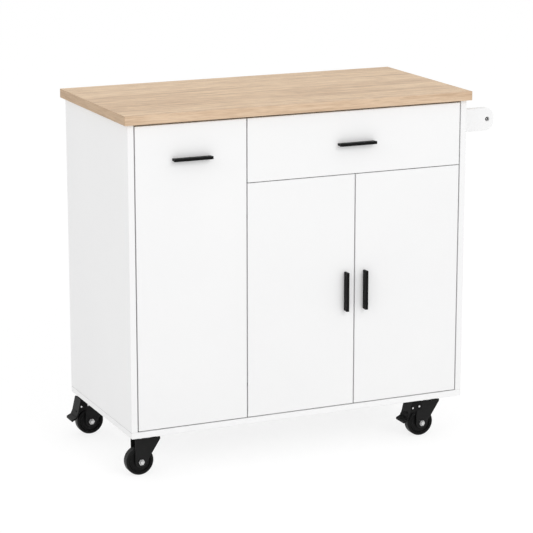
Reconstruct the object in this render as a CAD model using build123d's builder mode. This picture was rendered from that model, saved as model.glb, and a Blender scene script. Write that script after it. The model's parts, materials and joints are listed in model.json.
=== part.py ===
# Kitchen island cart: a cupboard with two doors, a drawer and a tilt-out bin front, on casters.
# Sizes are in millimetres and +Z is up. -Y is the front, where the doors are, and +X is the end
# with the towel rail. The origin is on the floor, under the middle of the whole cart's outline.

from build123d import *
import os
from math import acos, atan2, cos, hypot, radians, sin

os.makedirs("parts", exist_ok=True)

# Worktop and carcass
cart_height = 872.0
worktop_width = 900.0
worktop_depth = 450.0
worktop_thick = 22.0
overhang = 10.0
board = 15.0
back_thick = 9.0
rail_depth = 60.0
edge_ease = 0.6

# Fronts and the gaps between them
side_gap = 3.0
bottom_gap = 2.5
drawer_gap = 2.0
top_gap = 5.0
bin_opening = 282.0
drawer_front_height = 152.5

# Concealed hinges: places are measured from the front's hinged edge and from its front face
pivot_inset = 9.0
pivot_depth = 6.2
hinge_pin_radius = 1.3
eye_wall = 1.15
arm_neck = 3.6
arm_width = 8.0
arm_side_play = 0.5
arm_swing_play = 0.4
arm_base_width = 14.0
arm_height = 10.0
arm_bend = 7.0
arm_length = 55.0
arm_end_round = 5.0
arm_wing_span = 50.0
arm_wing_width = 16.0
arm_wing_thick = 2.0
cup_radius = 17.5
cup_depth = 12.5
cup_inset = 22.0
cup_wall = 0.8
cup_play = 0.1
cup_rim = 2.0
cup_ear = 2.5
flange_length = 62.0
flange_width = 16.0
flange_thick = 1.2
flange_offset = 6.0
door_hinge_inset = 80.0
bin_hinge_inset = 60.0
swing_room = 1.2

# Clearances
running_play = 0.05
screw_play = 0.1
seat_gap = 0.3

# Shelf
shelf_level = 402.0
shelf_setback = 40.0
shelf_play = 1.0
shelf_pin_radius = 2.5
shelf_pin_reach = 9.0
shelf_pin_inset = 45.0

# Bar pulls: a slim lip on a narrower neck; the level ones hang a little below the drawer front's middle
pull_length = 96.0
pull_reach = 18.0
lip_width = 7.0
lip_depth = 7.0
lip_round = 1.2
neck_width = 5.4
pull_pitch = 64.0
pull_edge_inset = 24.0
bin_pull_drop = 6.5
drawer_pull_drop = 2.5
pull_screw_radius = 1.5
pull_screw_bite = 10.0
screw_head_radius = 4.0
screw_head_height = 2.2

# Towel rail
bracket_reach = 87.0
bracket_height = 56.0
bracket_round = 23.0
bracket_drop = 27.0
bracket_inset = 20.0
rod_radius = 8.0
rod_offset = 70.0
rod_recess_radius = 6.0
rod_recess_depth = 4.0
rod_screw_radius = 2.0
rod_screw_bite = 20.0
bracket_screw_pitch = 30.0
bracket_screw_bite = 25.0
socket_width = 4.0
socket_depth = 1.4

# Drawer and its runners
drawer_board = 12.0
drawer_height = 100.0
drawer_back_space = 36.0
drawer_lift = 12.0
drawer_bottom_thick = 5.0
groove_depth = 6.0
groove_lift = 10.0
groove_play = 0.2
runner_space = 12.7
runner_height = 35.0
runner_depth = 10.5
runner_sheet = 1.5
runner_play = 0.4
runner_end_space = 15.0
runner_lift = 25.0

# Bin carrier behind the tilt-out front, with its tilt stop
cheek_thick = 12.0
cheek_play = 4.0
cheek_base = 22.0
cheek_height = 308.0
cheek_depth = 220.0
cheek_slope_run = 115.0
cheek_slope_rise = 130.0
cheek_round = 12.0
tray_lift = 45.0
bin_rail_lift = 120.0
bin_rail_height = 70.0
bin_tilt = 30.0
stop_radius = 200.0
stop_angle = 47.0
stop_pin_radius = 4.0
stop_play = 0.5
stop_pin_seat = 8.0
stop_pin_past = 2.0

# Rubber bumpers
bumper_radius = 4.0
bumper_round = 1.5
bumper_lift = 5.0
bumper_inset = 40.0

# Casters
caster_height = 101.0
caster_left_inset = 49.0
caster_right_inset = 79.0
caster_end_inset = 40.0
wheel_radius = 34.5
wheel_width = 25.0
wheel_round = 5.0
wheel_dish = 3.0
wheel_rim = 9.0
wheel_groove = 1.0
hub_radius = 9.5
trail = 18.0
fork_sheet = 2.5
fork_gap = 29.0
fork_half_length = 32.0
fork_front_drop = 7.0
fork_bend = 2.0
fork_nose_round = 4.0
axle_end_radius = 14.0
axle_radius = 4.0
nut_width = 13.0
nut_height = 6.5
bolt_head_height = 5.3
bolt_past_nut = 1.5
nut_ring_radius = 5.4
nut_ring_height = 1.5
plate_size = 60.0
plate_thick = 2.5
plate_round = 6.0
race_radius = 24.0
race_taper = 4.0
race_height = 5.2
kingpin_radius = 5.0
kingpin_head_radius = 9.0
kingpin_head_height = 3.5
caster_screw_pitch = 44.0
caster_screw_radius = 2.0
caster_screw_bite = 12.0
caster_screw_head_radius = 4.5
caster_screw_head_height = 2.8

# Brake pedals: heights are above the floor and lengths run back from the swivel axis
pedal_width = 43.0
pedal_sheet = 3.0
pedal_top_back = 45.5
pedal_top_height = 94.0
pedal_knee_back = 52.5
pedal_knee_height = 63.0
pedal_reach = 70.0
pedal_tip_height = 45.0
pedal_pad_length = 12.0
pedal_pad_thick = 5.0
pedal_cheek = 2.2
pedal_eye_radius = 9.0
pedal_pivot_back = 26.5
pedal_pivot_height = 79.5
pedal_pin_radius = 2.5
pedal_pin_past = 1.4
cross_pin_back = 44.5
cross_pin_height = 77.0
cross_pin_radius = 2.2
shoe_width = 18.0
shoe_gap = 5.5
shoe_angle = 140.0
shoe_thick = 7.0

# Levels and faces worked out from those sizes
carcass_width = worktop_width - 2 * overhang
carcass_depth = worktop_depth - 2 * overhang
left_reach = carcass_width / 2 - caster_left_inset + pedal_reach
right_reach = carcass_width / 2 + bracket_reach
front_reach = carcass_depth / 2 + pull_reach
back_reach = worktop_depth / 2
mid_x = (left_reach - right_reach) / 2
mid_y = (front_reach - back_reach) / 2

left = mid_x - carcass_width / 2
right = mid_x + carcass_width / 2
left_in = left + board
right_in = right - board
front = mid_y - carcass_depth / 2
back = mid_y + carcass_depth / 2
back_in = back - back_thick
front_back = front + board
inner_setback = pivot_depth + hypot(pivot_inset, board - pivot_depth) + swing_room
inner_front = front + inner_setback

base_low = caster_height
base_top = base_low + board
roof = cart_height - worktop_thick
rail_low = roof - board
divider_mid = left_in + bin_opening
divider_left = divider_mid - board / 2
divider_right = divider_mid + board / 2

# Limits of the fronts along X and Z
fronts_low = base_top + bottom_gap
fronts_top = roof - top_gap
drawer_low = fronts_top - drawer_front_height
doors_top = drawer_low - drawer_gap
wide_left = divider_mid + side_gap / 2
wide_right = right_in - side_gap
doors_mid = (wide_left + wide_right) / 2
bin_x = (left_in + side_gap, divider_mid - side_gap / 2)
bin_z = (fronts_low, fronts_top)
drawer_x = (wide_left, wide_right)
drawer_z = (drawer_low, fronts_top)
left_door_x = (wide_left, doors_mid - side_gap / 2)
right_door_x = (doors_mid + side_gap / 2, wide_right)
doors_z = (fronts_low, doors_top)
front_y = (front, front_back)


def middle(limits):
    """The middle of a pair of limits."""
    return (limits[0] + limits[1]) / 2


def length(limits):
    """The distance between a pair of limits."""
    return limits[1] - limits[0]


def save(piece, label):
    """Labels a finished piece and writes it."""
    piece.part.label = label
    export_step(piece.part, f"parts/{label}.step")


def add_board(x, y, z):
    """Adds a flat board between the given limits to the part in hand."""
    with BuildSketch(Plane.XY.offset(z[0])) as outline:
        with Locations((middle(x), middle(y))):
            Rectangle(length(x), length(y))
    extrude(outline.sketch, amount=length(z))


def make_board(label, x, y, z):
    """Makes and writes a plain board between the given limits."""
    with BuildPart() as plain:
        add_board(x, y, z)
        chamfer(plain.edges(), edge_ease)
    save(plain, label)


def drill(point, direction, radius, depth):
    """Drills a round hole into the part in hand, from a point along a direction."""
    with BuildSketch(Plane(origin=point, z_dir=direction)) as mouth:
        Circle(radius)
    extrude(mouth.sketch, amount=depth, mode=Mode.SUBTRACT)


def add_rod(point, direction, radius, amount):
    """Adds a round rod to the part in hand, from a point along a direction."""
    with BuildSketch(Plane(origin=point, z_dir=direction)) as section:
        Circle(radius)
    extrude(section.sketch, amount=amount)


# Hinges: each has a plane at the hinged edge, with x into the front and y back from its face
def upright_hinge(edge_x, inwards, level):
    """The plane of a door's hinge, with inwards +1 or -1 along X."""
    return Plane(origin=(edge_x, front, level), x_dir=(inwards, 0, 0), z_dir=(0, 0, inwards))


door_hinge_levels = (doors_z[0] + door_hinge_inset, doors_z[1] - door_hinge_inset)
left_hinges = [upright_hinge(left_door_x[0], 1, level) for level in door_hinge_levels]
right_hinges = [upright_hinge(right_door_x[1], -1, level) for level in door_hinge_levels]
bin_hinges = [
    Plane(origin=(x, front, fronts_low), x_dir=(0, 0, 1), z_dir=(-1, 0, 0))
    for x in (bin_x[0] + bin_hinge_inset, bin_x[1] - bin_hinge_inset)
]
divider_seat = (board - side_gap) / 2
eye_radius = hinge_pin_radius + running_play + eye_wall
cup_floor = board - cup_depth


def cut_arm_notch(hinge):
    """Opens a front's edge or a cup's wall where the hinge arm swings in."""
    low = pivot_depth - arm_neck / 2 - arm_swing_play
    high = board + flange_thick
    with BuildSketch(hinge) as notch:
        with Locations((pivot_inset, low)):
            Rectangle(2 * pivot_inset, high - low, align=(Align.MAX, Align.MIN))
    extrude(notch.sketch, amount=arm_width / 2 + arm_side_play, both=True, mode=Mode.SUBTRACT)


def cup_plane(hinge):
    """The plane on the front's back face, centred on the hinge cup."""
    centre = hinge.from_local_coords((cup_inset, board, 0))
    return Plane(origin=centre, x_dir=hinge.x_dir, z_dir=hinge.y_dir)


def cut_hinge_seat(hinge):
    """Bores a front for a hinge cup and opens its edge for the arm."""
    with BuildSketch(cup_plane(hinge)) as bore:
        Circle(cup_radius)
    extrude(bore.sketch, amount=-cup_depth, mode=Mode.SUBTRACT)
    cut_arm_notch(hinge)


def add_cup(hinge):
    """Adds a hinge cup with its flange and ears, and the pin between the ears."""
    rim = cup_radius - cup_play
    with BuildSketch(hinge) as half_section:
        with BuildLine():
            Polyline(
                (cup_inset, cup_floor),
                (cup_inset + rim, cup_floor),
                (cup_inset + rim, board),
                (cup_inset + rim - cup_wall, board),
                (cup_inset + rim - cup_wall, cup_floor + cup_wall),
                (cup_inset, cup_floor + cup_wall),
                close=True,
            )
        make_face()
    centre_line = Axis(hinge.from_local_coords((cup_inset, 0, 0)), hinge.y_dir)
    revolve(half_section.sketch, axis=centre_line)
    with BuildSketch(cup_plane(hinge)) as flange:
        with Locations((flange_offset, 0)):
            SlotOverall(flange_length, flange_width, rotation=90)
        Circle(cup_radius + cup_rim)
        Circle(rim - cup_wall, mode=Mode.SUBTRACT)
    extrude(flange.sketch, amount=flange_thick)
    cut_arm_notch(hinge)
    ear_inside = arm_width / 2 + arm_side_play
    for start in (ear_inside, -ear_inside - cup_ear):
        with BuildSketch(hinge.offset(start)) as ear:
            with Locations((pivot_inset, pivot_depth)):
                Circle(eye_radius)
            with Locations((pivot_inset, cup_floor)):
                Rectangle(2 * eye_radius, pivot_depth - cup_floor, align=(Align.CENTER, Align.MIN))
            with Locations((pivot_inset, pivot_depth)):
                Circle(hinge_pin_radius + running_play, mode=Mode.SUBTRACT)
        extrude(ear.sketch, amount=cup_ear)
    with BuildSketch(hinge) as pin:
        with Locations((pivot_inset, pivot_depth)):
            Circle(hinge_pin_radius)
    extrude(pin.sketch, amount=ear_inside + cup_ear, both=True)


def add_arm(hinge, seat):
    """Adds a hinge arm: an eye on the pin, a neck, and a base on the board at the seat."""
    with BuildSketch(hinge) as neck:
        with Locations((pivot_inset, pivot_depth)):
            Circle(eye_radius)
            Rectangle(arm_neck, inner_setback + arm_bend - pivot_depth, align=(Align.CENTER, Align.MIN))
            Circle(hinge_pin_radius + running_play, mode=Mode.SUBTRACT)
    extrude(neck.sketch, amount=arm_width / 2, both=True)
    crank_top = max(seat + arm_height, pivot_inset + arm_neck / 2)
    with BuildSketch(hinge) as base:
        with Locations((seat, inner_setback)):
            Rectangle(arm_height, arm_length, align=Align.MIN)
        fillet(base.vertices().sort_by(Axis.Y)[-2:].sort_by(Axis.X)[-1], arm_end_round)
        with Locations((seat, inner_setback)):
            Rectangle(crank_top - seat, arm_bend, align=Align.MIN)
    extrude(base.sketch, amount=arm_base_width / 2, both=True)
    with BuildSketch(hinge) as wings:
        with Locations((seat, inner_setback + arm_length / 2)):
            Rectangle(arm_wing_thick, arm_wing_width, align=(Align.MIN, Align.CENTER))
    extrude(wings.sketch, amount=arm_wing_span / 2, both=True)


# Bar pulls: each has a plane on the front's face, with x along the pull and z out of the face
def level_pull(x, z):
    """The plane of a pull that lies level."""
    return Plane(origin=(x, front, z), x_dir=(1, 0, 0), z_dir=(0, -1, 0))


def upright_pull(x, z):
    """The plane of a pull that stands upright."""
    return Plane(origin=(x, front, z), x_dir=(0, 0, 1), z_dir=(0, -1, 0))


bin_pull = level_pull(middle(bin_x), middle(drawer_z) - bin_pull_drop)
drawer_pull = level_pull(middle(drawer_x), middle(drawer_z) - drawer_pull_drop)
left_pull = upright_pull(left_door_x[1] - pull_edge_inset, middle(doors_z))
right_pull = upright_pull(right_door_x[0] + pull_edge_inset, middle(doors_z))


def cut_pull_holes(pull, amount):
    """Cuts the two screw holes of a pull, into the pull or, with a minus, into the front."""
    with BuildSketch(pull) as holes:
        with GridLocations(pull_pitch, 0, 2, 1):
            Circle(pull_screw_radius + screw_play)
    extrude(holes.sketch, amount=amount, mode=Mode.SUBTRACT)


def make_pull(label, pull):
    """Makes a bar pull: a lip on a neck, cut square at its ends."""
    with BuildPart() as bar:
        end = Plane(origin=pull.origin, x_dir=pull.y_dir, z_dir=pull.x_dir)
        with BuildSketch(end) as section:
            Rectangle(neck_width, pull_reach, align=(Align.CENTER, Align.MIN))
            with Locations((0, pull_reach)):
                Rectangle(lip_width, lip_depth, align=(Align.CENTER, Align.MAX))
            fillet(section.vertices().group_by(Axis.Y)[-1], lip_round)
        extrude(section.sketch, amount=pull_length / 2, both=True)
        cut_pull_holes(pull, pull_screw_bite + screw_play)
    save(bar, label)


def make_pull_screws(label, pull):
    """Makes a pull's two screws, with their heads behind the front."""
    with BuildPart() as screws:
        behind = pull.offset(-board)
        with BuildSketch(behind) as shanks:
            with GridLocations(pull_pitch, 0, 2, 1):
                Circle(pull_screw_radius)
        extrude(shanks.sketch, amount=board + pull_screw_bite)
        with BuildSketch(behind) as heads:
            with GridLocations(pull_pitch, 0, 2, 1):
                Circle(screw_head_radius)
        extrude(heads.sketch, amount=-screw_head_height)
    save(screws, label)


def make_front(label, x, z, pull, hinges):
    """Makes a front board, bored for its hinges and its pull."""
    with BuildPart() as panel:
        add_board(x, front_y, z)
        chamfer(panel.edges(), edge_ease)
        for hinge in hinges:
            cut_hinge_seat(hinge)
        cut_pull_holes(pull, -board)
    save(panel, label)


def make_hinge_cups(label, hinges):
    """Makes the hinge cups of one front, with their pins."""
    with BuildPart() as cups:
        for hinge in hinges:
            add_cup(hinge)
    save(cups, label)


# Worktop
with BuildPart() as worktop:
    add_board(
        (left - overhang, right + overhang),
        (front - overhang, back + overhang),
        (roof, cart_height),
    )
    chamfer(worktop.edges(), edge_ease)
save(worktop, "worktop")

# Places of the shelf, its pins, the bin's stop pins and the towel rail, which the boards are bored for
shelf_y = (front + shelf_setback, back_in - shelf_play)
shelf_pin_level = shelf_level - shelf_pin_radius
shelf_hole_radius = shelf_pin_radius + screw_play
shelf_pin_ys = (shelf_y[0] + shelf_pin_inset, shelf_y[1] - shelf_pin_inset)
stop_y = front + pivot_depth + stop_radius * cos(radians(stop_angle))
stop_z = fronts_low + pivot_inset + stop_radius * sin(radians(stop_angle))
bracket_z = (roof - bracket_drop - bracket_height, roof - bracket_drop)
front_bracket_y = (front + bracket_inset, front + bracket_inset + board)
back_bracket_y = (back - bracket_inset - board, back - bracket_inset)
bracket_screw_zs = (
    middle(bracket_z) - bracket_screw_pitch / 2,
    middle(bracket_z) + bracket_screw_pitch / 2,
)
bracket_screw_spots = [(middle(y), z) for y in (front_bracket_y, back_bracket_y) for z in bracket_screw_zs]
rod_x = right + rod_offset
rod_z = middle(bracket_z)

# Side panels, standing on the bottom board
side_z = (base_top, roof)
side_y = (front, back)

with BuildPart() as left_side_panel:
    add_board((left, left_in), side_y, side_z)
    chamfer(left_side_panel.edges(), edge_ease)
    drill((left_in, stop_y, stop_z), (-1, 0, 0), stop_pin_radius + screw_play, stop_pin_seat)
save(left_side_panel, "left_side_panel")

with BuildPart() as right_side_panel:
    add_board((right_in, right), side_y, side_z)
    chamfer(right_side_panel.edges(), edge_ease)
    for y in shelf_pin_ys:
        drill((right_in, y, shelf_pin_level), (1, 0, 0), shelf_hole_radius, shelf_pin_reach)
    for y, z in bracket_screw_spots:
        drill((right_in, y, z), (1, 0, 0), rod_screw_radius + screw_play, board)
save(right_side_panel, "right_side_panel")

# Bottom board, drilled for the caster screws
casters = {
    "front_left": (left + caster_left_inset, front + caster_end_inset),
    "front_right": (right - caster_right_inset, front + caster_end_inset),
    "back_left": (left + caster_left_inset, back - caster_end_inset),
    "back_right": (right - caster_right_inset, back - caster_end_inset),
}
braked = ("front_right", "back_left")

with BuildPart() as bottom_board:
    add_board((left, right), side_y, (base_low, base_top))
    chamfer(bottom_board.edges(), edge_ease)
    with BuildSketch(Plane.XY.offset(base_low)) as pilot_holes:
        with Locations(*casters.values()):
            with GridLocations(caster_screw_pitch, caster_screw_pitch, 2, 2):
                Circle(caster_screw_radius + screw_play)
    extrude(pilot_holes.sketch, amount=caster_screw_bite + screw_play, mode=Mode.SUBTRACT)
save(bottom_board, "bottom_board")

# Divider between the bin and the cupboard, under the top rails
with BuildPart() as divider:
    add_board((divider_left, divider_right), (inner_front, back_in), (base_top, rail_low))
    chamfer(divider.edges(), edge_ease)
    drill((divider_left, stop_y, stop_z), (1, 0, 0), stop_pin_radius + screw_play, stop_pin_seat)
    for y in shelf_pin_ys:
        drill((divider_right, y, shelf_pin_level), (-1, 0, 0), shelf_hole_radius, shelf_pin_reach)
save(divider, "divider")

# Back panel and rails
make_board("back_panel", (left_in, right_in), (back_in, back), side_z)

with BuildPart() as top_rails:
    add_board((left_in, right_in), (inner_front, inner_front + rail_depth), (rail_low, roof))
    add_board((left_in, right_in), (back_in - rail_depth, back_in), (rail_low, roof))
    chamfer(top_rails.edges(), edge_ease)
save(top_rails, "top_rails")

drawer_rail_z = (drawer_low - board, drawer_low)
make_board("drawer_rail", (divider_right, right_in), (inner_front, inner_front + rail_depth), drawer_rail_z)

# Shelf on four pins
shelf_x = (divider_right + shelf_play, right_in - shelf_play)
make_board("shelf", shelf_x, shelf_y, (shelf_level, shelf_level + board))

with BuildPart() as shelf_pins:
    for y in shelf_pin_ys:
        for face in (divider_right, right_in):
            start = (face - shelf_pin_reach, y, shelf_pin_level)
            add_rod(start, (1, 0, 0), shelf_pin_radius, 2 * shelf_pin_reach)
save(shelf_pins, "shelf_pins")


# Towel rail: two brackets with rounded outer corners, a rod between them and their screws
def make_bracket(label, y, outer_face, inwards):
    """Makes a bracket whose rod screw is sunk in its outer face, with inwards +1 or -1 along Y."""
    with BuildPart() as bracket:
        outline_plane = Plane(origin=(right, y[1], bracket_z[0]), x_dir=(1, 0, 0), z_dir=(0, -1, 0))
        with BuildSketch(outline_plane) as outline:
            Rectangle(bracket_reach, bracket_height, align=Align.MIN)
            fillet(outline.vertices().group_by(Axis.X)[-1], bracket_round)
        extrude(outline.sketch, amount=length(y))
        chamfer(bracket.faces().filter_by(Axis.Y).edges(), edge_ease)
        drill((rod_x, outer_face, rod_z), (0, inwards, 0), rod_recess_radius, rod_recess_depth)
        drill((rod_x, outer_face, rod_z), (0, inwards, 0), rod_screw_radius + screw_play, length(y))
        for z in bracket_screw_zs:
            depth = bracket_screw_bite + screw_play
            drill((right, middle(y), z), (1, 0, 0), rod_screw_radius + screw_play, depth)
    save(bracket, label)


make_bracket("front_towel_bracket", front_bracket_y, front_bracket_y[0], 1)
make_bracket("back_towel_bracket", back_bracket_y, back_bracket_y[1], -1)

rod_ends = ((front_bracket_y[1], 1), (back_bracket_y[0], -1))
with BuildPart() as towel_rod:
    rod_length = back_bracket_y[0] - front_bracket_y[1]
    add_rod((rod_x, front_bracket_y[1], rod_z), (0, 1, 0), rod_radius, rod_length)
    for end, inwards in rod_ends:
        depth = rod_screw_bite + screw_play
        drill((rod_x, end, rod_z), (0, inwards, 0), rod_screw_radius + screw_play, depth)
save(towel_rod, "towel_rod")

with BuildPart() as towel_screws:
    for face, inwards in ((front_bracket_y[0], 1), (back_bracket_y[1], -1)):
        seat = face + inwards * rod_recess_depth
        shank = board - rod_recess_depth + rod_screw_bite
        add_rod((rod_x, seat, rod_z), (0, inwards, 0), rod_screw_radius, shank)
        add_rod((rod_x, seat, rod_z), (0, -inwards, 0), screw_head_radius, screw_head_height)
        crown = seat - inwards * screw_head_height
        with BuildSketch(Plane(origin=(rod_x, crown, rod_z), z_dir=(0, inwards, 0))) as socket:
            RegularPolygon(socket_width / 2, 6, major_radius=False)
        extrude(socket.sketch, amount=socket_depth, mode=Mode.SUBTRACT)
    for y, z in bracket_screw_spots:
        add_rod((right_in, y, z), (1, 0, 0), rod_screw_radius, board + bracket_screw_bite)
        add_rod((right_in, y, z), (-1, 0, 0), screw_head_radius, screw_head_height)
save(towel_screws, "towel_screws")

# Tilt-out bin front
make_front("bin_front_panel", bin_x, bin_z, bin_pull, bin_hinges)
make_hinge_cups("bin_hinge_cups", bin_hinges)
make_pull("bin_pull", bin_pull)
make_pull_screws("bin_pull_screws", bin_pull)

# Bin carrier: two cheeks with an arc slot round the tilt axis, a tray and a back rail
slot_path = CenterArc((pivot_depth, pivot_inset), stop_radius, stop_angle - bin_tilt, bin_tilt)
left_cheek_x = (left_in + cheek_play, left_in + cheek_play + cheek_thick)
right_cheek_x = (divider_left - cheek_play - cheek_thick, divider_left - cheek_play)
cheek_back = board + cheek_depth
cheek_top = cheek_base + cheek_height


def make_cheek(label, x):
    """Makes one cheek, drawn with x back from the front's face and y up from its bottom edge."""
    with BuildPart() as cheek:
        drawing = Plane(origin=(x[0], front, fronts_low), x_dir=(0, 1, 0), z_dir=(1, 0, 0))
        with BuildSketch(drawing) as outline:
            with BuildLine():
                Polyline(
                    (board, cheek_base),
                    (cheek_back, cheek_base),
                    (cheek_back, cheek_top - cheek_slope_rise),
                    (cheek_back - cheek_slope_run, cheek_top),
                    (board, cheek_top),
                    close=True,
                )
            make_face()
            free_corners = outline.vertices().filter_by_position(Axis.X, board + edge_ease, cheek_back)
            fillet(free_corners, cheek_round)
            SlotArc(slot_path, 2 * (stop_pin_radius + stop_play), mode=Mode.SUBTRACT)
        extrude(outline.sketch, amount=length(x))
    save(cheek, label)


make_cheek("bin_left_cheek", left_cheek_x)
make_cheek("bin_right_cheek", right_cheek_x)

bin_inside_x = (left_cheek_x[1], right_cheek_x[0])
tray_z = (fronts_low + tray_lift, fronts_low + tray_lift + cheek_thick)
make_board("bin_tray", bin_inside_x, (front_back, front + cheek_back), tray_z)
bin_rail_y = (front + cheek_back - cheek_thick, front + cheek_back)
bin_rail_z = (fronts_low + bin_rail_lift, fronts_low + bin_rail_lift + bin_rail_height)
make_board("bin_back_rail", bin_inside_x, bin_rail_y, bin_rail_z)

with BuildPart() as bin_stop_pins:
    pin_amount = stop_pin_seat + cheek_play + cheek_thick + stop_pin_past
    add_rod((left_in - stop_pin_seat, stop_y, stop_z), (1, 0, 0), stop_pin_radius, pin_amount)
    add_rod((divider_left + stop_pin_seat, stop_y, stop_z), (-1, 0, 0), stop_pin_radius, pin_amount)
save(bin_stop_pins, "bin_stop_pins")

# Doors
make_front("left_door_panel", left_door_x, doors_z, left_pull, left_hinges)
make_hinge_cups("left_door_hinge_cups", left_hinges)
make_pull("left_door_pull", left_pull)
make_pull_screws("left_door_pull_screws", left_pull)

make_front("right_door_panel", right_door_x, doors_z, right_pull, right_hinges)
make_hinge_cups("right_door_hinge_cups", right_hinges)
make_pull("right_door_pull", right_pull)
make_pull_screws("right_door_pull_screws", right_pull)

# Hinge arms: inset ones on the bottom board and the right panel, straight ones on the divider
with BuildPart() as hinge_arms:
    for hinge in bin_hinges:
        add_arm(hinge, -bottom_gap)
    for hinge in right_hinges:
        add_arm(hinge, -side_gap)
    for hinge in left_hinges:
        add_arm(hinge, divider_seat)
save(hinge_arms, "hinge_arms")

# Drawer: front, two sides, back, and a bottom held in grooves
make_front("drawer_front", drawer_x, drawer_z, drawer_pull, [])
make_pull("drawer_pull", drawer_pull)
make_pull_screws("drawer_pull_screws", drawer_pull)

drawer_side_z = (drawer_low + drawer_lift, drawer_low + drawer_lift + drawer_height)
drawer_side_y = (front_back, back_in - drawer_back_space)
drawer_depth = length(drawer_side_y)
drawer_out_x = (divider_right + runner_space, right_in - runner_space)
drawer_in_x = (drawer_out_x[0] + drawer_board, drawer_out_x[1] - drawer_board)
groove_z = drawer_side_z[0] + groove_lift


def make_drawer_side(label, x, inner_face, outwards):
    """Makes a drawer side with its groove in the inner face, with outwards +1 or -1 along X."""
    with BuildPart() as side:
        add_board(x, drawer_side_y, drawer_side_z)
        chamfer(side.edges(), edge_ease)
        corner = (inner_face, drawer_side_y[0], groove_z)
        mouth = Plane(origin=corner, x_dir=(0, 1, 0), z_dir=(outwards, 0, 0))
        with BuildSketch(mouth) as groove:
            with Locations((drawer_depth / 2, outwards * drawer_bottom_thick / 2)):
                Rectangle(drawer_depth, drawer_bottom_thick + 2 * groove_play)
        extrude(groove.sketch, amount=groove_depth + groove_play, mode=Mode.SUBTRACT)
    save(side, label)


make_drawer_side("drawer_left_side", (drawer_out_x[0], drawer_in_x[0]), drawer_in_x[0], -1)
make_drawer_side("drawer_right_side", (drawer_in_x[1], drawer_out_x[1]), drawer_in_x[1], 1)

drawer_back_y = (drawer_side_y[1] - drawer_board, drawer_side_y[1])
drawer_back_z = (groove_z + drawer_bottom_thick, drawer_side_z[1])
make_board("drawer_back", drawer_in_x, drawer_back_y, drawer_back_z)
make_board(
    "drawer_bottom",
    (drawer_in_x[0] - groove_depth, drawer_in_x[1] + groove_depth),
    drawer_side_y,
    (groove_z, groove_z + drawer_bottom_thick),
)

# Drawer runners: a channel on the cabinet and a narrower one on the drawer, running inside it
runner_z = drawer_side_z[0] + runner_lift + runner_height / 2
runner_faces = ((divider_right, 1), (right_in, -1))
runner_length = drawer_side_y[1] - runner_end_space - inner_front
inner_runner_height = runner_height - 2 * (runner_sheet + runner_play)


def add_channel(plane, reach, height, wall_side):
    """Adds a sheet channel to the part in hand, with its web at the start or the end of its reach."""
    with BuildSketch(plane) as section:
        Rectangle(reach, height, align=(Align.MIN, Align.CENTER))
        with Locations((runner_sheet if wall_side == "start" else 0, 0)):
            hollow = height - 2 * runner_sheet
            Rectangle(reach - runner_sheet, hollow, align=(Align.MIN, Align.CENTER), mode=Mode.SUBTRACT)
    extrude(section.sketch, amount=runner_length)


with BuildPart() as cabinet_runners:
    for face, inwards in runner_faces:
        start = Plane(origin=(face, inner_front, runner_z), x_dir=(inwards, 0, 0), z_dir=(0, 1, 0))
        add_channel(start, runner_depth, runner_height, "start")
save(cabinet_runners, "cabinet_runners")

with BuildPart() as drawer_runners:
    inner_reach = runner_depth - runner_sheet
    for face, inwards in runner_faces:
        near = face + inwards * (runner_space - inner_reach)
        start = Plane(origin=(near, inner_front, runner_z), x_dir=(inwards, 0, 0), z_dir=(0, 1, 0))
        add_channel(start, inner_reach, inner_runner_height, "end")
save(drawer_runners, "drawer_runners")

# Bumpers behind the fronts: on the front top rail for the bin and drawer, on the drawer rail for the doors
bumper_spots = []
for low_x, high_x in ((left_in, divider_left), (divider_right, right_in)):
    bumper_spots.append((low_x + bumper_inset, rail_low + bumper_lift))
    bumper_spots.append((high_x - bumper_inset, rail_low + bumper_lift))
for side in (-1, 1):
    bumper_spots.append((doors_mid + side * bumper_inset, drawer_rail_z[0] + bumper_lift))
with BuildPart() as bumpers:
    bumper_height = inner_front - front_back - seat_gap
    for x, z in bumper_spots:
        add_rod((x, inner_front, z), (0, -1, 0), bumper_radius, bumper_height)
    fillet(bumpers.faces().group_by(Axis.Y)[0].edges(), bumper_round)
save(bumpers, "bumpers")

# Caster plates with their ball race, kingpins and screws
plate_low = base_low - plate_thick
race_low = plate_low - race_height
crown_top = race_low - seat_gap
crown_low = crown_top - fork_sheet

with BuildPart() as caster_plates:
    with BuildSketch(Plane.XY.offset(plate_low)):
        with Locations(*casters.values()):
            RectangleRounded(plate_size, plate_size, plate_round)
            with GridLocations(caster_screw_pitch, caster_screw_pitch, 2, 2):
                Circle(caster_screw_radius + screw_play, mode=Mode.SUBTRACT)
    extrude(amount=plate_thick)
    with Locations(*[(x, y, race_low) for x, y in casters.values()]):
        standing = (Align.CENTER, Align.CENTER, Align.MIN)
        Cone(race_radius - race_taper, race_radius, race_height, align=standing)
    with Locations(*[(x, y, base_low) for x, y in casters.values()]):
        Hole(kingpin_radius + running_play, plate_thick + race_height)
save(caster_plates, "caster_plates")

kingpin_head_top = crown_low - seat_gap
with BuildPart() as caster_kingpins:
    for x, y in casters.values():
        add_rod((x, y, base_low), (0, 0, -1), kingpin_radius, base_low - kingpin_head_top)
        add_rod((x, y, kingpin_head_top), (0, 0, -1), kingpin_head_radius, kingpin_head_height)
save(caster_kingpins, "caster_kingpins")

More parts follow.
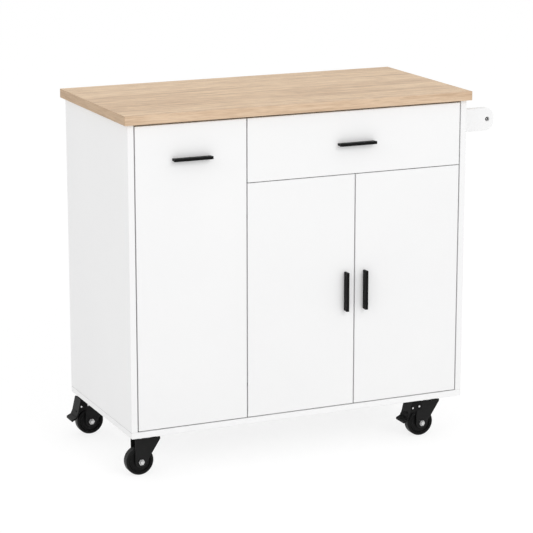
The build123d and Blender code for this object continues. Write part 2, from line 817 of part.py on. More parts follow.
with BuildPart() as caster_screws:
    with BuildSketch(Plane.XY.offset(plate_low)) as shanks:
        with Locations(*casters.values()):
            with GridLocations(caster_screw_pitch, caster_screw_pitch, 2, 2):
                Circle(caster_screw_radius)
    extrude(shanks.sketch, amount=plate_thick + caster_screw_bite)
    with BuildSketch(Plane.XY.offset(plate_low)) as heads:
        with Locations(*casters.values()):
            with GridLocations(caster_screw_pitch, caster_screw_pitch, 2, 2):
                Circle(caster_screw_head_radius)
    extrude(heads.sketch, amount=-caster_screw_head_height)
save(caster_screws, "caster_screws")

# Casters: every fork trails towards -X, drawn with x along X from the swivel axis and y up from the floor
fork_width = fork_gap + 2 * fork_sheet
axle_spot = (-trail, wheel_radius)
pedal_pivot = (-pedal_pivot_back, pedal_pivot_height)
cross_pin = (-cross_pin_back, cross_pin_height)
cheek_inside = fork_width / 2 + seat_gap
fork_front = (fork_half_length, crown_top - fork_front_drop)
front_edge = hypot(fork_front[0] - axle_spot[0], fork_front[1] - axle_spot[1])
front_turn = atan2(fork_front[1] - axle_spot[1], fork_front[0] - axle_spot[0])
tangent_turn = front_turn - acos(axle_end_radius / front_edge)
leg_tangent = (
    axle_spot[0] + axle_end_radius * cos(tangent_turn),
    axle_spot[1] + axle_end_radius * sin(tangent_turn),
)
leg_foot = (axle_spot[0], axle_spot[1] - axle_end_radius)
leg_rear = (axle_spot[0] - axle_end_radius, axle_spot[1])
crown_rear = (leg_rear[0], crown_top)
crown_front = (fork_front[0], crown_top)


def make_fork(label, side, has_brake):
    """Makes a fork: a bent channel whose legs taper from the crown to a round end at the axle."""
    with BuildPart() as fork:
        with BuildSketch(side) as leg:
            with BuildLine():
                Polyline(leg_rear, crown_rear, crown_front, fork_front, leg_tangent)
                ThreePointArc(leg_tangent, leg_foot, leg_rear)
            make_face()
            fillet(leg.vertices().group_by(Axis.X)[-1], fork_nose_round)
        extrude(leg.sketch, amount=fork_width / 2, both=True)
        with BuildSketch(side) as channel:
            with Locations((0, crown_low)):
                Rectangle(4 * fork_half_length, 2 * crown_low, align=(Align.CENTER, Align.MAX))
        extrude(channel.sketch, amount=fork_gap / 2, both=True, mode=Mode.SUBTRACT)
        fillet(fork.edges().filter_by(Axis.X).group_by(Axis.Z)[-1], fork_bend)
        with BuildSketch(side) as pin_holes:
            with Locations(axle_spot):
                Circle(axle_radius + running_play)
            if has_brake:
                with Locations(pedal_pivot):
                    Circle(pedal_pin_radius + running_play)
        extrude(pin_holes.sketch, amount=fork_width, both=True, mode=Mode.SUBTRACT)
        with Locations((side.origin.X, side.origin.Y, crown_top)):
            Hole(kingpin_radius + running_play, fork_sheet)
    save(fork, label)


def make_wheel(label, side):
    """Makes a wheel turned from one section: hub, dished web, and a tyre with a ring groove."""
    half = wheel_width / 2
    web = half - wheel_dish
    hub_half = fork_gap / 2 - seat_gap
    rim = wheel_radius - wheel_rim
    shoulder = wheel_radius - wheel_round
    groove = (rim + shoulder) / 2
    with BuildPart() as wheel:
        centre = side.from_local_coords((*axle_spot, 0))
        with BuildSketch(Plane(origin=centre, x_dir=(0, 1, 0), z_dir=(1, 0, 0))) as section:
            with BuildLine():
                Polyline(
                    (0, axle_radius + running_play),
                    (hub_half, axle_radius + running_play),
                    (hub_half, hub_radius),
                    (web, hub_radius + wheel_dish / 2),
                    (web, rim - wheel_dish / 2),
                    (half, rim),
                    (half, groove - wheel_groove),
                    (half - wheel_groove, groove),
                    (half, groove + wheel_groove),
                    (half, shoulder),
                )
                RadiusArc((half, shoulder), (half - wheel_round, wheel_radius), -wheel_round)
                Line((half - wheel_round, wheel_radius), (0, wheel_radius))
                mirror(about=Plane.YZ)
            make_face()
        revolve(section.sketch, axis=Axis(centre, (0, 1, 0)))
    save(wheel, label)


def make_axle(label, side, has_brake):
    """Makes the axle bolt and its lock nut, and on a braked caster the pedal's pivot pin."""
    leg_face = fork_width / 2
    near = side.offset(leg_face)
    far = side.offset(-leg_face)
    with BuildPart() as axle:
        with BuildSketch(near) as nut:
            with Locations(axle_spot):
                RegularPolygon(nut_width / 2, 6, major_radius=False)
                Circle(axle_radius + running_play, mode=Mode.SUBTRACT)
        extrude(nut.sketch, amount=nut_height - nut_ring_height)
        with BuildSketch(near.offset(nut_height - nut_ring_height)) as ring:
            with Locations(axle_spot):
                Circle(nut_ring_radius)
                Circle(axle_radius + running_play, mode=Mode.SUBTRACT)
        extrude(ring.sketch, amount=nut_ring_height)
        with BuildSketch(far) as shank:
            with Locations(axle_spot):
                Circle(axle_radius)
        extrude(shank.sketch, amount=fork_width + nut_height + bolt_past_nut)
        with BuildSketch(far) as head:
            with Locations(axle_spot):
                RegularPolygon(nut_width / 2, 6, major_radius=False)
        extrude(head.sketch, amount=-bolt_head_height)
        if has_brake:
            with BuildSketch(side) as pivot_pin:
                with Locations(pedal_pivot):
                    Circle(pedal_pin_radius)
            extrude(pivot_pin.sketch, amount=cheek_inside + pedal_cheek + pedal_pin_past, both=True)
    save(axle, label)


def make_pedal(label, side):
    """Makes a brake pedal: a curved tread with a thick tip, two cheeks, a shoe and a cross pin."""
    top = (-pedal_top_back, pedal_top_height)
    knee = (-pedal_knee_back, pedal_knee_height)
    tip = (pedal_pad_length - pedal_reach, pedal_tip_height + pedal_pad_length / 2)
    shoe_radius = wheel_radius + shoe_gap
    shoe_face = (
        axle_spot[0] + shoe_radius * cos(radians(shoe_angle)),
        axle_spot[1] + shoe_radius * sin(radians(shoe_angle)),
    )
    with BuildPart() as pedal:
        with BuildSketch(side) as tread:
            with BuildLine() as spine:
                fall = Line(top, knee)
                TangentArc(knee, tip, tangent=fall % 1)
            trace(spine.line, pedal_sheet)
        extrude(tread.sketch, amount=pedal_width / 2, both=True)
        with BuildSketch(side) as pad:
            with BuildLine():
                Polyline(
                    (tip[0] + pedal_sheet, tip[1] + pedal_sheet / 2),
                    (-pedal_reach, pedal_tip_height),
                    (-pedal_reach, pedal_tip_height - pedal_pad_thick),
                    (tip[0], tip[1] - pedal_pad_thick),
                    close=True,
                )
            make_face()
        extrude(pad.sketch, amount=pedal_width / 2, both=True)
        for start in (cheek_inside, -cheek_inside - pedal_cheek):
            with BuildSketch(side.offset(start)) as cheek:
                with Locations(pedal_pivot):
                    Circle(pedal_eye_radius)
                with Locations(top, knee):
                    Circle(pedal_sheet / 2)
                make_hull()
                with Locations(pedal_pivot):
                    Circle(pedal_pin_radius + running_play, mode=Mode.SUBTRACT)
            extrude(cheek.sketch, amount=pedal_cheek)
        with BuildSketch(side) as shoe:
            with Locations(Location(shoe_face, shoe_angle)):
                Rectangle(shoe_thick, shoe_thick, align=(Align.MIN, Align.CENTER))
        extrude(shoe.sketch, amount=shoe_width / 2, both=True)
        with BuildSketch(side) as cross_hole:
            with Locations(cross_pin):
                Circle(cross_pin_radius + running_play)
        extrude(cross_hole.sketch, amount=pedal_width, both=True, mode=Mode.SUBTRACT)
        with BuildSketch(side) as pin:
            with Locations(cross_pin):
                Circle(cross_pin_radius)
        extrude(pin.sketch, amount=cheek_inside + pedal_cheek + pedal_pin_past, both=True)
    save(pedal, label)


for corner, (x, y) in casters.items():
    side = Plane(origin=(x, y, 0), x_dir=(1, 0, 0), z_dir=(0, -1, 0))
    has_brake = corner in braked
    make_fork(f"{corner}_caster_fork", side, has_brake)
    make_wheel(f"{corner}_wheel", side)
    make_axle(f"{corner}_axle", side, has_brake)
    if has_brake:
        make_pedal(f"{corner}_brake_pedal", side)
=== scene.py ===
"""Looks of the kitchen island cart: materials, small screws, floor, light and camera.

Lengths are in metres. -Y is the front, +X the end with the towel rail, and z = 0 is the floor.
"""
import json
import math

import bmesh
import bpy
from mathutils import Matrix, Vector

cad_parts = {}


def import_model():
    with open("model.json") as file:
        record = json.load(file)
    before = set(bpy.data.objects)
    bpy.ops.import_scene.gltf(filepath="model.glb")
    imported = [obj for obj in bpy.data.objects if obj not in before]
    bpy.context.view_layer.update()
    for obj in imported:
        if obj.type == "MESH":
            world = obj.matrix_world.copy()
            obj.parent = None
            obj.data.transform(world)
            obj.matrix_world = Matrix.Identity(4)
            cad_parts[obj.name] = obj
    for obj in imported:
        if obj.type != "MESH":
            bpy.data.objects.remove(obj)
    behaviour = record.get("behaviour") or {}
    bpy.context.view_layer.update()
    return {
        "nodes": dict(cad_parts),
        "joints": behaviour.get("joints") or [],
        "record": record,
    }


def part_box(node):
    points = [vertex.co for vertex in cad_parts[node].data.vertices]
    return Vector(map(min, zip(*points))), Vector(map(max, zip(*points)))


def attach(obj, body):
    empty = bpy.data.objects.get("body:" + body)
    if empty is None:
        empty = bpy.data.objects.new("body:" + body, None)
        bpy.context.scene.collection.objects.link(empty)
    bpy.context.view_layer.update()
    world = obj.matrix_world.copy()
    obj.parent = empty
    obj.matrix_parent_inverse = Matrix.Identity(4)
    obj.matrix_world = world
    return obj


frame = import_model()
scene = bpy.context.scene
nodes = frame["nodes"]
joint_places = {joint["name"]: Vector(joint["pos_m"]) for joint in frame["joints"] if "pos_m" in joint}
casters = ("front_left", "front_right", "back_left", "back_right")
braked_casters = ("front_right", "back_left")


# Material helpers
def rgba(color):
    """A colour with full alpha; a number stands for a grey."""
    red, green, blue = color if isinstance(color, tuple) else (color, color, color)
    return red, green, blue, 1.0


class Shader:
    """One material: a Principled surface and short ways to add texture nodes to it.

    The plain colour and roughness that it starts with give way to a texture that is linked later.
    """

    # Socket numbers of a Mix node, because its sockets of different kinds share their names
    mix_factor = 0
    vector_inputs = (4, 5)
    vector_output = 1
    color_inputs = (6, 7)
    color_output = 2

    def __init__(self, name, color, roughness, metallic=0.0, specular=0.5):
        self.material = bpy.data.materials.new(name)
        self.material.use_nodes = True
        self.tree = self.material.node_tree
        self.surface = self.tree.nodes["Principled BSDF"]
        self.surface.inputs["Base Color"].default_value = rgba(color)
        self.surface.inputs["Roughness"].default_value = roughness
        self.surface.inputs["Metallic"].default_value = metallic
        self.surface.inputs["Specular IOR Level"].default_value = specular
        self.coords = self.node("ShaderNodeTexCoord").outputs["Object"]

    def node(self, kind, **settings):
        """A new node with some of its settings changed."""
        made = self.tree.nodes.new(kind)
        for key, value in settings.items():
            setattr(made, key, value)
        return made

    def link(self, output, target):
        self.tree.links.new(output, target)

    def feed(self, socket, value):
        """Links a node's output to a socket, or sets a plain value on it."""
        if isinstance(value, bpy.types.NodeSocket):
            self.link(value, socket)
        else:
            socket.default_value = value

    def axes(self, vector):
        """The X, Y and Z outputs of a vector."""
        split = self.node("ShaderNodeSeparateXYZ")
        self.link(vector, split.inputs[0])
        return split.outputs

    def noise(self, scale, detail=2.0, roughness=0.5, distortion=0.0, source=None):
        """Noise on the object's coordinates, or on a source's, with one scale or one for each axis."""
        mapping = self.node("ShaderNodeMapping")
        self.link(source or self.coords, mapping.inputs["Vector"])
        mapping.inputs["Scale"].default_value = scale if isinstance(scale, tuple) else (scale, scale, scale)
        texture = self.node("ShaderNodeTexNoise")
        self.link(mapping.outputs["Vector"], texture.inputs["Vector"])
        texture.inputs["Scale"].default_value = 1.0
        texture.inputs["Detail"].default_value = detail
        texture.inputs["Roughness"].default_value = roughness
        texture.inputs["Distortion"].default_value = distortion
        return texture.outputs["Fac"]

    def ramp(self, value, stops):
        """A colour ramp with (place, colour) stops."""
        ramp = self.node("ShaderNodeValToRGB")
        self.link(value, ramp.inputs["Fac"])
        elements = ramp.color_ramp.elements
        while len(elements) < len(stops):
            elements.new(0.5)
        for element, (place, color) in zip(elements, stops):
            element.position = place
            element.color = rgba(color)
        return ramp.outputs["Color"]

    def mottle(self, value, dark, light):
        """A ramp over the middle of a noise, from a dark to a light colour."""
        return self.ramp(value, [(0.3, dark), (0.7, light)])

    def spread(self, value, low, high):
        """Maps 0 to 1 onto low to high."""
        ranged = self.node("ShaderNodeMapRange")
        self.link(value, ranged.inputs["Value"])
        ranged.inputs["To Min"].default_value = low
        ranged.inputs["To Max"].default_value = high
        return ranged.outputs["Result"]

    def math(self, operation, first, second=0.0):
        """One step of arithmetic on outputs or numbers."""
        made = self.node("ShaderNodeMath", operation=operation)
        self.feed(made.inputs[0], first)
        self.feed(made.inputs[1], second)
        return made.outputs["Value"]

    def blend(self, factor, first, second, kind="MIX"):
        """Mixes two colours by a factor."""
        mix = self.node("ShaderNodeMix", data_type="RGBA", blend_type=kind)
        self.feed(mix.inputs[self.mix_factor], factor)
        self.feed(mix.inputs[self.color_inputs[0]], first)
        self.feed(mix.inputs[self.color_inputs[1]], second)
        return mix.outputs[self.color_output]

    def pick(self, factor, first, second):
        """Takes the first vector where the factor is 0, and the second where it is 1."""
        mix = self.node("ShaderNodeMix", data_type="VECTOR")
        self.link(factor, mix.inputs[self.mix_factor])
        self.link(first, mix.inputs[self.vector_inputs[0]])
        self.link(second, mix.inputs[self.vector_inputs[1]])
        return mix.outputs[self.vector_output]

    def bump(self, height, strength, distance):
        """Tilts the surface's normal by a height, as a fine grain does."""
        made = self.node("ShaderNodeBump")
        self.link(height, made.inputs["Height"])
        made.inputs["Strength"].default_value = strength
        made.inputs["Distance"].default_value = distance
        self.link(made.outputs["Normal"], self.surface.inputs["Normal"])

    def color(self, output):
        self.link(output, self.surface.inputs["Base Color"])

    def roughness(self, output):
        self.link(output, self.surface.inputs["Roughness"])


# Materials
def white_board(name, base):
    """White melamine: a fine pearl grain that breaks up the gloss, and a trace of shade variation."""
    shader = Shader(name, base, roughness=0.42, specular=0.4)
    cloud = shader.noise(3.0, detail=3.0)
    cool = (base - 0.010, base - 0.010, base - 0.008)
    shader.color(shader.mottle(cloud, dark=cool, light=base + 0.008))
    pearl = shader.noise(900.0, detail=3.0)
    shader.roughness(shader.spread(pearl, low=0.36, high=0.50))
    shader.bump(pearl, strength=0.12, distance=0.0001)
    return shader.material


def oak_board():
    """Pale oak laminate with its grain along X, and along Y on the end edges."""
    long_edge_tint = rgba((0.96, 0.985, 1.07))
    end_edge_tint = rgba((0.75, 0.72, 0.70))
    edge_tone = rgba((0.66, 0.47, 0.295))
    edge_evenness = 0.45
    broad_share = 0.22
    streak_share = 0.36
    dash_share = 0.42
    pore_depth = 0.85
    facing = 0.7
    shader = Shader("pale oak laminate", (0.70, 0.53, 0.38), roughness=0.45, specular=0.4)

    normal = shader.axes(shader.node("ShaderNodeNewGeometry").outputs["Normal"])
    on_end = shader.math("GREATER_THAN", shader.math("ABSOLUTE", normal["X"]), facing)
    on_long_edge = shader.math("GREATER_THAN", shader.math("ABSOLUTE", normal["Y"]), facing)
    place = shader.axes(shader.coords)
    turned = shader.node("ShaderNodeCombineXYZ")
    shader.link(place["Y"], turned.inputs["X"])
    shader.link(place["X"], turned.inputs["Y"])
    shader.link(place["Z"], turned.inputs["Z"])
    grain = shader.pick(on_end, shader.coords, turned.outputs[0])

    broad = shader.noise((0.7, 13.0, 13.0), detail=3.0, distortion=0.8, source=grain)
    streak = shader.noise((3.4, 120.0, 150.0), detail=6.0, roughness=0.65, distortion=0.1, source=grain)
    dash = shader.noise((15.0, 260.0, 330.0), detail=4.0, roughness=0.6, source=grain)
    fine = shader.noise((28.0, 900.0, 900.0), detail=2.0, roughness=0.6, source=grain)
    broad_part = shader.math("MULTIPLY", broad, broad_share)
    streak_part = shader.math("MULTIPLY", streak, streak_share)
    dash_part = shader.math("MULTIPLY", dash, dash_share)
    body = shader.math("ADD", shader.math("ADD", broad_part, streak_part), dash_part)
    tone = shader.ramp(body, [
        (0.40, (0.470, 0.296, 0.164)),
        (0.465, (0.606, 0.411, 0.249)),
        (0.527, (0.740, 0.530, 0.334)),
        (0.59, (0.820, 0.617, 0.408)),
    ])
    pores = shader.ramp(fine, [(0.36, 0.66), (0.46, 1.0)])
    board = shader.blend(pore_depth, tone, pores, kind="MULTIPLY")

    edge = shader.blend(edge_evenness, board, edge_tone)
    long_edge = shader.blend(1.0, edge, long_edge_tint, kind="MULTIPLY")
    end_edge = shader.blend(1.0, edge, end_edge_tint, kind="MULTIPLY")
    shader.color(shader.blend(on_end, shader.blend(on_long_edge, board, long_edge), end_edge))
    shader.roughness(shader.spread(streak, low=0.38, high=0.56))
    shader.bump(fine, strength=0.18, distance=0.0002)
    return shader.material


def powder_black():
    """Matt black powder coat of the pulls."""
    shader = Shader("matt black powder coat", 0.006, roughness=0.48, specular=0.08)
    grain = shader.noise(1100.0, detail=3.0)
    shader.color(shader.mottle(grain, dark=0.004, light=0.008))
    shader.roughness(shader.spread(grain, low=0.40, high=0.56))
    shader.bump(grain, strength=0.25, distance=0.0001)
    return shader.material


def moulded_black(name, base, rough, grain_scale):
    """Black moulded or coated caster part with a fine leathery grain."""
    shader = Shader(name, base, rough, specular=0.11)
    grain = shader.noise(grain_scale, detail=4.0, roughness=0.6)
    shader.color(shader.mottle(grain, dark=base * 0.8, light=base * 1.25))
    shader.roughness(shader.spread(grain, low=rough - 0.07, high=rough + 0.09))
    shader.bump(grain, strength=0.25, distance=0.00015)
    return shader.material


def steel(name, base, rough, grain_scale):
    """Plated or brushed steel, whose grain is drawn out along an axis with a small scale."""
    shader = Shader(name, base, rough, metallic=1.0)
    grain = shader.noise(grain_scale, detail=3.0, roughness=0.6)
    shader.color(shader.mottle(grain, dark=base * 0.86, light=base * 1.1))
    shader.roughness(shader.spread(grain, low=rough - 0.08, high=rough + 0.1))
    shader.bump(grain, strength=0.08, distance=0.0001)
    return shader.material


def grey_rubber():
    """Soft grey rubber of the bumpers and the lock nuts' inserts."""
    shader = Shader("grey rubber", (0.34, 0.34, 0.35), roughness=0.7)
    grain = shader.noise(1500.0, detail=2.0)
    shader.color(shader.mottle(grain, dark=0.30, light=0.38))
    shader.bump(grain, strength=0.2, distance=0.0001)
    return shader.material


def dark_oxide():
    """Blackened steel of the towel rail's socket screws."""
    shader = Shader("blackened steel", (0.05, 0.05, 0.052), roughness=0.5, specular=0.3)
    grain = shader.noise(900.0, detail=3.0)
    shader.color(shader.mottle(grain, dark=0.035, light=0.065))
    shader.bump(grain, strength=0.15, distance=0.0001)
    return shader.material


looks = {
    "white_board": white_board("white melamine", base=0.86),
    "oak_board": oak_board(),
    "pull_black": powder_black(),
    "fork_black": moulded_black("black caster fork", base=0.0115, rough=0.40, grain_scale=700.0),
    "pedal_black": moulded_black("black brake pedal", base=0.0050, rough=0.46, grain_scale=520.0),
    "wheel_black": moulded_black("black wheel", base=0.006, rough=0.36, grain_scale=380.0),
    "steel": steel("zinc plated steel", base=0.68, rough=0.30, grain_scale=500.0),
    "rod_steel": steel("brushed steel rod", base=0.64, rough=0.28, grain_scale=(1800.0, 14.0, 1800.0)),
    "bumper_rubber": grey_rubber(),
}
for part in frame["record"]["subparts"]:
    mesh = nodes[part["node"]].data
    mesh.materials.clear()
    mesh.materials.append(looks[part["material_slot"]])


# Faces that differ from the rest of their node
def paint(node, material, wanted):
    """Gives another material to the faces of a node that a test picks."""
    mesh = nodes[node].data
    mesh.materials.append(material)
    slot = len(mesh.materials) - 1
    for face in mesh.polygons:
        if wanted(face):
            face.material_index = slot


def near_line(point, radius, behind=math.inf):
    """A test that picks faces near a line along Y through a point, and in front of a place on it."""
    def picks(face):
        across = math.hypot(face.center.x - point.x, face.center.z - point.z)
        return across < radius and face.center.y < behind
    return picks


# The bottom board is a trace whiter than the panels that stand on it, and the eased edges that meet
# in their seam are painted grey: painted shade that stands for the shadow in the joint between them
bottom_board_white = 0.88
seam_shade_grey = 0.58
seam_half_height = 0.0007
slant_least, slant_most = 0.5, 0.9
seam_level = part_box("bottom_board")[1].z
# A grey copy of the white melamine: painted shade for the seam's shadow
seam = white_board("painted seam shade", seam_shade_grey)


def in_seam(face):
    """Picks the slanted faces of eased edges at the seam's level."""
    slanted = slant_least < abs(face.normal.z) < slant_most
    return slanted and abs(face.center.z - seam_level) < seam_half_height


def at_seam_on_end(face):
    """Picks the seam's faces that look left or right."""
    return in_seam(face) and abs(face.normal.x) >= slant_least


nodes["bottom_board"].data.materials[0] = white_board("bright white melamine", bottom_board_white)
paint("left_side_panel", seam, in_seam)
paint("right_side_panel", seam, in_seam)
paint("bottom_board", seam, at_seam_on_end)

# The rivet through each brake pedal is bare steel
rivet_from_pivot = Vector((-0.018, 0.0, -0.0025))
rivet_radius = 0.0024
for caster in braked_casters:
    rivet = joint_places[f"{caster}_brake"] + rivet_from_pivot
    paint(f"{caster}_brake_pedal", looks["steel"], near_line(rivet, rivet_radius))

# The socket screws that hold the towel rod are blackened, and the bright steel at the bottom of the
# socket is a painted highlight, which stands for a reflection in it
rod_low, rod_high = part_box("towel_rod")
rod_axis = (rod_low + rod_high) / 2
rod_screw_head_radius = 0.0045
rod_socket_highlight_radius = 0.0019
paint("towel_screws", dark_oxide(), near_line(rod_axis, rod_screw_head_radius))
# Painted highlight: bright steel on the socket's floor
paint("towel_screws", looks["steel"], near_line(rod_axis, rod_socket_highlight_radius))

# Lock nuts have a dull insert round the end of the bolt
insert_radius = 0.0056
insert_depth = 0.0035
bolt_radius = 0.0041
for caster in casters:
    axle = joint_places[f"{caster}_roll"]
    insert_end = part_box(f"{caster}_axle")[0].y + insert_depth
    paint(f"{caster}_axle", looks["bumper_rubber"], near_line(axle, insert_radius, insert_end))
    paint(f"{caster}_axle", looks["steel"], near_line(axle, bolt_radius))


# Cross-head screw heads, which the CAD solids leave out
def add_screw_head(mesh, place, outwards, radius, height):
    """Adds one raised screw head with a cross recess, standing on a surface, to a bmesh."""
    sides = 24
    head_profile = ((1.0, 0.0), (1.0, 0.35), (0.86, 0.8), (0.66, 1.0))
    mouth_arm, mouth_half_width = 0.52, 0.13
    bottom_arm, bottom_half_width, bottom_level = 0.36, 0.08, 0.25
    stand = Matrix.Translation(place) @ Vector(outwards).to_track_quat("Z", "Y").to_matrix().to_4x4()

    def corner(x, y, level):
        return mesh.verts.new(stand @ Vector((x * radius, y * radius, level * height)))

    def ring(across, level):
        angles = [2 * math.pi * step / sides for step in range(sides)]
        return [corner(across * math.cos(angle), across * math.sin(angle), level) for angle in angles]

    def cross(arm, half, level):
        outline = [(arm, -half), (arm, half), (half, half), (half, arm), (-half, arm), (-half, half),
                   (-arm, half), (-arm, -half), (-half, -half), (-half, -arm), (half, -arm), (half, -half)]
        return [corner(x, y, level) for x, y in outline]

    def band(lower, upper):
        for step in range(len(lower)):
            after = (step + 1) % len(lower)
            mesh.faces.new((lower[step], lower[after], upper[after], upper[step]))

    def edges(loop):
        return [mesh.edges.get((loop[step - 1], loop[step])) for step in range(len(loop))]

    rings = [ring(across, level) for across, level in head_profile]
    mesh.faces.new(reversed(rings[0]))
    for lower, upper in zip(rings, rings[1:]):
        band(lower, upper)
    mouth = cross(mouth_arm, mouth_half_width, 1.0)
    bottom = cross(bottom_arm, bottom_half_width, bottom_level)
    band(mouth, bottom)
    mesh.faces.new(bottom)
    bmesh.ops.triangle_fill(mesh, use_beauty=True, edges=edges(rings[-1]) + edges(mouth))


def screws(name, body, places, outwards, radius=0.0036, height=0.0018):
    """One piece with a screw head at each place, riding on a body."""
    mesh = bmesh.new()
    for place in places:
        add_screw_head(mesh, place, outwards, radius, height)
    bmesh.ops.recalc_face_normals(mesh, faces=mesh.faces)
    data = bpy.data.meshes.new(name)
    mesh.to_mesh(data)
    mesh.free()
    data.materials.append(looks["steel"])
    made = bpy.data.objects.new(name, data)
    scene.collection.objects.link(made)
    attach(made, body)


def either_side(middles, half_pitch):
    """Two places for each middle, half a pitch to either side of it."""
    return [middle + side * half_pitch for middle in middles for side in (-1, 1)]


# Two screws in each hinge cup and two in each hinge arm
cup_screw_line = 0.019
cup_screw_half_pitch = 0.024
cup_half_span = 0.031
arm_screw_half_pitch = 0.018
arm_half_length = 0.0275
wing_thickness = 0.002
arm_screw_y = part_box("divider")[0].y + arm_half_length
door_sides = {
    "left_door": (1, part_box("divider")[1].x + wing_thickness),
    "right_door": (-1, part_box("right_side_panel")[0].x - wing_thickness),
}
for door, (inwards, wing_x) in door_sides.items():
    low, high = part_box(f"{door}_hinge_cups")
    hinges = (low.z + cup_half_span, high.z - cup_half_span)
    cup_x = joint_places[f"{door}_hinge"].x + inwards * cup_screw_line
    cup_places = [Vector((cup_x, high.y, z)) for z in either_side(hinges, cup_screw_half_pitch)]
    arm_places = [Vector((wing_x, arm_screw_y, z)) for z in either_side(hinges, arm_screw_half_pitch)]
    screws(f"{door}_cup_screws", door, cup_places, (0, 1, 0))
    screws(f"{door}_arm_screws", "cabinet", arm_places, (inwards, 0, 0))
low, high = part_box("bin_hinge_cups")
hinges = (low.x + cup_half_span, high.x - cup_half_span)
cup_z = joint_places["bin_tilt"].z + cup_screw_line
wing_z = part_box("bottom_board")[1].z + wing_thickness
cup_places = [Vector((x, high.y, cup_z)) for x in either_side(hinges, cup_screw_half_pitch)]
arm_places = [Vector((x, arm_screw_y, wing_z)) for x in either_side(hinges, arm_screw_half_pitch)]
screws("bin_front_cup_screws", "bin_front", cup_places, (0, 1, 0))
screws("bin_front_arm_screws", "cabinet", arm_places, (0, 0, 1))

# Crowns with cross recesses on the screw heads behind the pulls and the towel brackets
crown_radius = 0.0037
crown_height = 0.0009
pulls = {"bin": "bin_front", "drawer": "drawer", "left_door": "left_door", "right_door": "right_door"}
for label, body in pulls.items():
    low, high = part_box(f"{label}_pull_screws")
    half = min(high.x - low.x, high.z - low.z) / 2
    ends = [Vector((low.x + half, high.y, low.z + half)), Vector((high.x - half, high.y, high.z - half))]
    screws(f"{label}_pull_crowns", body, ends, (0, 1, 0), crown_radius, crown_height)
bracket_screw_half_pitch = 0.015
head_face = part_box("towel_screws")[0].x
heads = []
for label in ("front_towel_bracket", "back_towel_bracket"):
    low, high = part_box(label)
    middle = (low + high) / 2
    heads += [Vector((head_face, middle.y, z)) for z in either_side([middle.z], bracket_screw_half_pitch)]
screws("towel_bracket_crowns", "cabinet", heads, (-1, 0, 0), crown_radius, crown_height)

# Screws that hold the back panel on the divider and on the back top rail
panel_screw_height = 0.0012
up_the_divider = (0.12, 0.45, 0.78)
along_the_rail = (0.06, 0.34, 0.66, 0.94)
low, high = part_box("back_panel")
divider_low, divider_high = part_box("divider")
rail_low, rail_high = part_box("top_rails")
divider_x = (divider_low.x + divider_high.x) / 2
rail_z = (rail_low.z + rail_high.z) / 2
places = [Vector((divider_x, high.y, low.z + share * (high.z - low.z))) for share in up_the_divider]
places += [Vector((low.x + share * (high.x - low.x), high.y, rail_z)) for share in along_the_rail]
screws("back_panel_screws", "cabinet", places, (0, 1, 0), height=panel_screw_height)


# Floor, light and camera
def seen_directly(tree):
    """An output that is 1 for what the camera sees straight, mirrored or through glass, else 0."""
    path = tree.nodes.new("ShaderNodeLightPath")
    seen = path.outputs["Is Camera Ray"]
    for name in ("Is Glossy Ray", "Is Transmission Ray"):
        either = tree.nodes.new("ShaderNodeMath")
        either.operation = "MAXIMUM"
        tree.links.new(seen, either.inputs[0])
        tree.links.new(path.outputs[name], either.inputs[1])
        seen = either.outputs[0]
    return seen


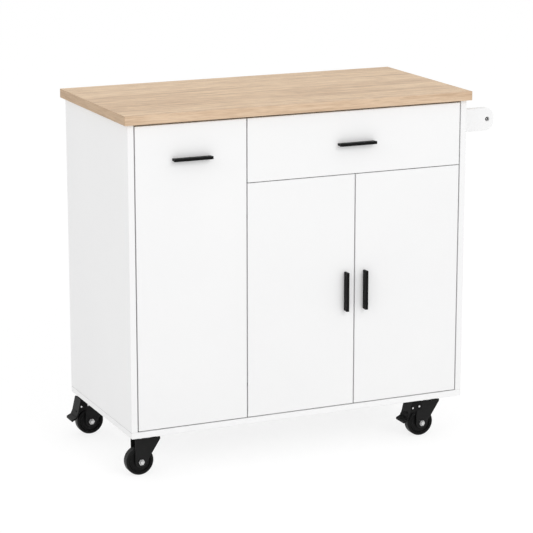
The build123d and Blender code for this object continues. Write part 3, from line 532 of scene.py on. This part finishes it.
def floor():
    """A wide pale floor that reflects as a bright floor does, and shows as white with the shadow on it."""
    reach = 40.0
    shadow_depth = 0.25
    glow_strength = 0.79
    corners = [(-reach, -reach, 0), (reach, -reach, 0), (reach, reach, 0), (-reach, reach, 0)]
    mesh = bpy.data.meshes.new("floor")
    mesh.from_pydata(corners, [], [(0, 1, 2, 3)])
    made = bpy.data.objects.new("floor", mesh)
    scene.collection.objects.link(made)
    shader = Shader("pale floor", 0.95, roughness=0.9, specular=0.0)
    speckle = shader.noise(60.0, detail=2.0)
    shader.color(shader.mottle(speckle, dark=0.948, light=0.956))
    pale = shader.node("ShaderNodeBsdfDiffuse")
    pale.inputs["Color"].default_value = rgba(shadow_depth)
    glow = shader.node("ShaderNodeEmission")
    glow.inputs["Strength"].default_value = glow_strength
    white = shader.node("ShaderNodeAddShader")
    shader.link(pale.outputs[0], white.inputs[0])
    shader.link(glow.outputs[0], white.inputs[1])
    choice = shader.node("ShaderNodeMixShader")
    shader.link(seen_directly(shader.tree), choice.inputs[0])
    shader.link(shader.surface.outputs[0], choice.inputs[1])
    shader.link(white.outputs[0], choice.inputs[2])
    shader.link(choice.outputs[0], shader.tree.nodes["Material Output"].inputs["Surface"])
    mesh.materials.append(shader.material)


def world():
    """An even white room that lights at a plain strength and shows as white."""
    light_strength = 0.82
    white = rgba(1.0)
    made = bpy.data.worlds.new("studio")
    made.use_nodes = True
    tree = made.node_tree
    light = tree.nodes["Background"]
    light.inputs["Color"].default_value = white
    light.inputs["Strength"].default_value = light_strength
    backdrop = tree.nodes.new("ShaderNodeBackground")
    backdrop.inputs["Color"].default_value = white
    backdrop.inputs["Strength"].default_value = 1.0
    choice = tree.nodes.new("ShaderNodeMixShader")
    tree.links.new(seen_directly(tree), choice.inputs[0])
    tree.links.new(light.outputs[0], choice.inputs[1])
    tree.links.new(backdrop.outputs[0], choice.inputs[2])
    tree.links.new(choice.outputs[0], tree.nodes["World Output"].inputs["Surface"])
    scene.world = made


def aim(made, direction):
    """Turns a lamp or camera to look along a direction."""
    made.rotation_euler = direction.to_track_quat("-Z", "Y").to_euler()


def lamp(name, place, size, watts):
    """A large soft area lamp at a place, aimed at the middle of the cart."""
    target = Vector((0.0, 0.0, 0.5))
    data = bpy.data.lights.new(name, "AREA")
    data.shape = "DISK"
    data.size = size
    data.energy = watts
    made = bpy.data.objects.new(name, data)
    made.location = place
    aim(made, target - Vector(place))
    scene.collection.objects.link(made)


def camera():
    """The photograph's viewpoint: from the front left, looking down a little."""
    place = (-2.19758, -4.83551, 1.70582)
    yaw = math.radians(24.127)
    pitch = math.radians(13.537)
    data = bpy.data.cameras.new("camera")
    data.sensor_width = 36.0
    data.lens = 148.3
    data.clip_end = 200.0
    made = bpy.data.objects.new("camera", data)
    made.location = place
    level = math.cos(pitch)
    aim(made, Vector((math.sin(yaw) * level, math.cos(yaw) * level, -math.sin(pitch))))
    scene.collection.objects.link(made)
    scene.camera = made


floor()
world()
lamp("key", (1.6, -7.0, 4.6), size=4.0, watts=146.0)
lamp("fill", (-4.0, -1.5, 2.6), size=2.4, watts=20.0)
camera()
scene.view_settings.view_transform = "Standard"
